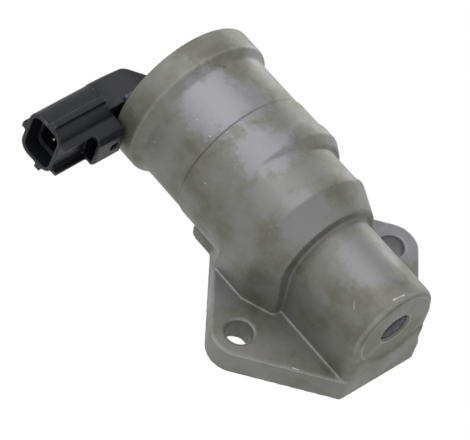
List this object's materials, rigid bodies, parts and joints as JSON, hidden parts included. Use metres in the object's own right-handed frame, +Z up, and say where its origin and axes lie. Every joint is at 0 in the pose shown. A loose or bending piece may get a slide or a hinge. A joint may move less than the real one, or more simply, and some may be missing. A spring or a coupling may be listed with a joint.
{
  "type": "idle air control valve",
  "caption": "Cast aluminium solenoid idle air control valve with a two-bolt flange, face ports, and a rear connector that points sideways.",
  "frame": {"origin": "middle of the flange's mounting face, midway between the two bolt holes", "axes": "+X along the valve's axis towards the nose, +Y from one bolt hole towards the other with the connector on the -Y side, +Z up from the mounting face"},
  "size_m": [0.1195, 0.0908, 0.0525],
  "materials": {
    "cast_aluminium": "tumbled grey casting with bright worn edges",
    "case_steel": "plated steel tube",
    "core_steel": "turned soft iron, plain",
    "spring_steel": "bright spring wire and strip",
    "stem_steel": "ground stainless steel",
    "brass": "drawn and turned brass",
    "bush_bronze": "sintered bronze",
    "winding_copper": "enamelled copper wire, wound",
    "terminal_plate": "tin-plated brass strip",
    "connector_plastic": "black glass-filled nylon",
    "bobbin_plastic": "natural nylon",
    "seal_rubber": "black fluorocarbon rubber",
    "gasket_fibre": "fibre and rubber sheet",
    "rear_sealant": "dark blue cured sealant",
    "nose_sealant": "glossy dark cured sealant"
  },
  "bodies": {
    "root": {"housing": "cast_aluminium", "front_port_seal": "seal_rubber", "rear_port_seal": "seal_rubber", "solenoid_case": "case_steel", "rear_core": "core_steel", "front_pole_plate": "core_steel", "pole_gasket": "gasket_fibre", "coil_bobbin": "bobbin_plastic", "coil_winding": "winding_copper", "plunger_tube": "brass", "rear_bush": "bush_bronze", "front_bush": "bush_bronze", "stop_shim": "brass", "spring_washer": "spring_steel", "connector_cover": "connector_plastic", "cover_o_ring": "seal_rubber", "cover_sealant": "rear_sealant", "upper_terminal": "terminal_plate", "lower_terminal": "terminal_plate", "valve_seat": "brass", "adjusting_screw": "brass", "nose_sealant": "nose_sealant", "adjusting_spring": "spring_steel", "return_spring": "spring_steel"},
    "plunger": {"valve_stem": "stem_steel", "plunger": "core_steel", "valve_plug": "brass", "stem_clip": "spring_steel", "spring_cap": "brass"}
  },
  "joints": [
    {"name": "valve_slide", "type": "slide", "parent": "root", "child": "plunger", "axis": [-1, 0, 0], "range_m": [0, 0.0035], "stiffness_N_per_m": 400, "springref_m": -0.004, "deforming": ["return_spring", "adjusting_spring"]}
  ]
}
